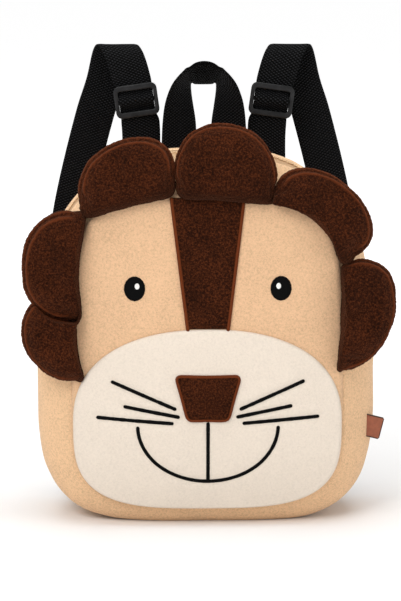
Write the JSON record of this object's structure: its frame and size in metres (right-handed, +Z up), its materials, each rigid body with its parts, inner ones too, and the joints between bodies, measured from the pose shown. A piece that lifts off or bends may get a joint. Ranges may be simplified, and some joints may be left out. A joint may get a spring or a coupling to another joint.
{
  "type": "kids animal backpack (plush lion)",
  "caption": "Soft plush backpack for a small child with a lion face, stuffed mane lobes, webbing carry handle, adjustable shoulder straps and a zipped main compartment.",
  "frame": {"origin": "on the floor at the middle of the bag's flat base", "axes": "+Z up, -Y the way the face looks, +X to the right as seen from the front"},
  "size_m": [0.2738, 0.149, 0.3537],
  "materials": {
    "tan_plush": "short pile plush",
    "brown_plush": "short pile plush",
    "cream_fleece": "fleece",
    "black_thread": "satin stitch",
    "white_thread": "satin stitch",
    "black_webbing": "woven webbing",
    "black_plastic": "satin moulded",
    "zip_tape": "woven tape",
    "zip_pull": "smooth",
    "tan_leather": "smooth"
  },
  "bodies": {
    "root": {"front_panel": "tan_plush", "gusset": "tan_plush", "back_panel": "tan_plush", "zip": "zip_tape", "zip_pull": "zip_pull", "muzzle": "cream_fleece", "forehead_stripe": "brown_plush", "nose": "brown_plush", "mouth": "black_thread", "eye_left": "black_thread", "eye_right": "black_thread", "eye_shine_left": "white_thread", "eye_shine_right": "white_thread", "whisker_left_1": "black_thread", "whisker_left_2": "black_thread", "whisker_left_3": "black_thread", "whisker_right_1": "black_thread", "whisker_right_2": "black_thread", "whisker_right_3": "black_thread", "strap_left": "black_webbing", "strap_right": "black_webbing", "slider_left": "black_plastic", "slider_right": "black_plastic", "mane_top": "brown_plush", "mane_upper_left": "brown_plush", "mane_upper_right": "brown_plush", "mane_right": "brown_plush", "mane_left": "brown_plush", "mane_lower_left": "brown_plush", "carry_handle": "black_webbing", "side_tag": "tan_leather"}
  },
  "joints": []
}
